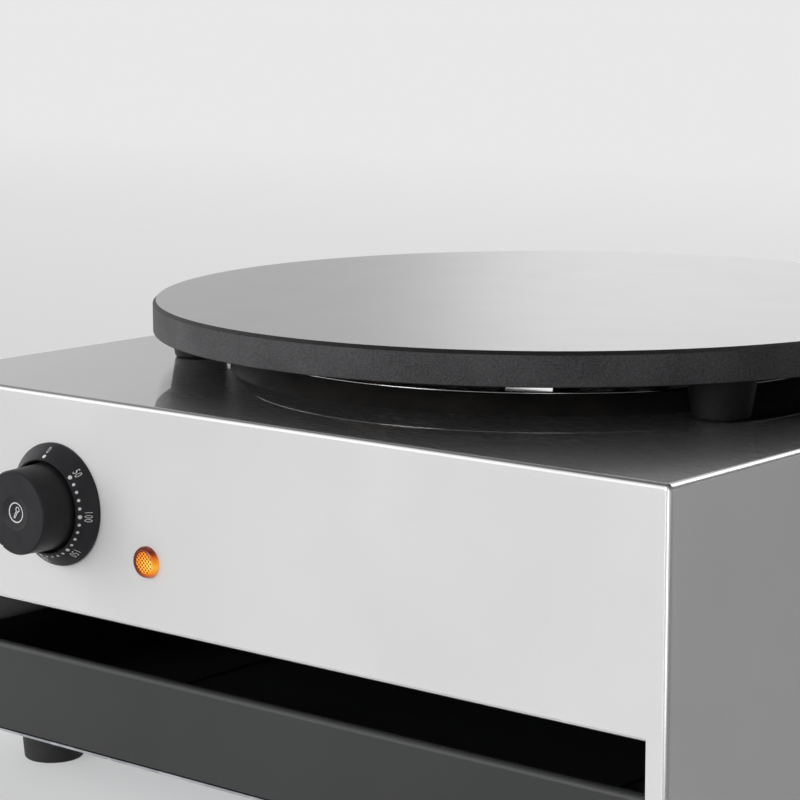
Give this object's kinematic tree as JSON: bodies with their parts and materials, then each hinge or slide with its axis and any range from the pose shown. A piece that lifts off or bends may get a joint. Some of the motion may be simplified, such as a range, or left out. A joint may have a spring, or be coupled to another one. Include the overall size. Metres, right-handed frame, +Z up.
{
  "type": "electric crepe maker",
  "caption": "Electric crepe maker: a round cast iron plate on a stainless housing, with a thermostat knob, a pilot lamp and a utensil drawer.",
  "frame": {"origin": "bottom centre of the whole object: the plane the feet stand on, under the middle of the cooking plate", "axes": "+X to the right seen from the front, +Y to the back, +Z up; the front panel with the knob faces -Y"},
  "size_m": [0.456, 0.504, 0.235],
  "materials": {
    "brushed_stainless": "fine brushed satin stainless sheet",
    "galvanised_steel": "galvanised sheet, dull",
    "polished_stainless": "bright polished stainless strip",
    "heat_tinted_steel": "steel strip, darkened by heat",
    "seasoned_cast_iron": "cast skin at the sides, fine turned top face, seasoned black",
    "heater_tube": "oxidised heater tube",
    "zinc_plated_steel": "zinc plated",
    "brass_terminal": "plain brass",
    "copper_sensor": "drawn copper tube",
    "black_thermoset": "fine matt moulded thermoset",
    "white_inlay": "white paint inlay",
    "amber_lens": "clear amber moulded lens, lit from behind",
    "white_ceramic": "unglazed steatite ceramic",
    "thermostat_moulding": "pale moulded thermoset",
    "mineral_wool": "mineral wool felt",
    "black_polyamide": "moulded polyamide",
    "black_rubber": "moulded rubber",
    "slate_powder_coat": "dark grey powder coat",
    "black_nylon": "black nylon",
    "silicone_wire": "silicone insulated wire",
    "earth_wire": "green and yellow insulated wire"
  },
  "bodies": {
    "housing": {"base_panel": "galvanised_steel", "base_panel_screws": "zinc_plated_steel", "boss_bolts": "zinc_plated_steel", "boss_washers": "zinc_plated_steel", "cable_gland_body": "black_polyamide", "cable_gland_cap": "black_polyamide", "cable_gland_nut": "black_polyamide", "cable_gland_seal": "black_rubber", "clamp_bar_left": "polished_stainless", "clamp_bar_right": "polished_stainless", "clamp_nuts": "zinc_plated_steel", "clamp_studs": "zinc_plated_steel", "cooking_plate": "seasoned_cast_iron", "dial_bezel": "black_thermoset", "divider_panel": "galvanised_steel", "divider_screws": "zinc_plated_steel", "drawer_runner_left": "black_nylon", "drawer_runner_right": "black_nylon", "earth_nuts": "zinc_plated_steel", "earth_stud": "zinc_plated_steel", "element_insulators": "white_ceramic", "element_pins": "zinc_plated_steel", "foot_front_left": "black_rubber", "foot_front_right": "black_rubber", "foot_nuts": "zinc_plated_steel", "foot_rear_left": "black_rubber", "foot_rear_right": "black_rubber", "foot_screws": "zinc_plated_steel", "heat_shield_ring": "heat_tinted_steel", "heating_element_inner": "heater_tube", "heating_element_outer": "heater_tube", "housing_shell": "brushed_stainless", "insulation_pad": "mineral_wool", "insulation_tray": "galvanised_steel", "pilot_lamp_body": "thermostat_moulding", "pilot_lamp_lens": "amber_lens", "pilot_lamp_nut": "zinc_plated_steel", "rear_panel": "brushed_stainless", "rear_panel_screws": "zinc_plated_steel", "sensor_bar": "heat_tinted_steel", "terminal_block": "white_ceramic", "terminal_screws": "brass_terminal", "thermostat_body": "thermostat_moulding", "thermostat_screws": "zinc_plated_steel", "thermostat_sensor": "copper_sensor", "tray_nuts": "zinc_plated_steel", "tray_studs": "zinc_plated_steel", "wire_earth": "earth_wire", "wire_heater": "silicone_wire", "wire_lamp": "silicone_wire", "wire_link": "silicone_wire", "wire_live": "silicone_wire", "wire_neutral": "silicone_wire"},
    "knob": {"knob": "black_thermoset", "knob_pointer": "white_inlay", "knob_clip": "zinc_plated_steel", "thermostat_shaft": "zinc_plated_steel"},
    "drawer": {"drawer_tray": "slate_powder_coat", "drawer_front": "slate_powder_coat", "drawer_rivets": "zinc_plated_steel"}
  },
  "joints": [
    {"name": "knob_turn", "type": "hinge", "parent": "housing", "child": "knob", "pos_m": [-0.1238, -0.225, 0.1463], "axis": [0, 1, 0], "range_deg": [-209, 71]},
    {"name": "drawer_slide", "type": "slide", "parent": "housing", "child": "drawer", "axis": [0, -1, 0], "range_m": [0, 0.3]}
  ]
}
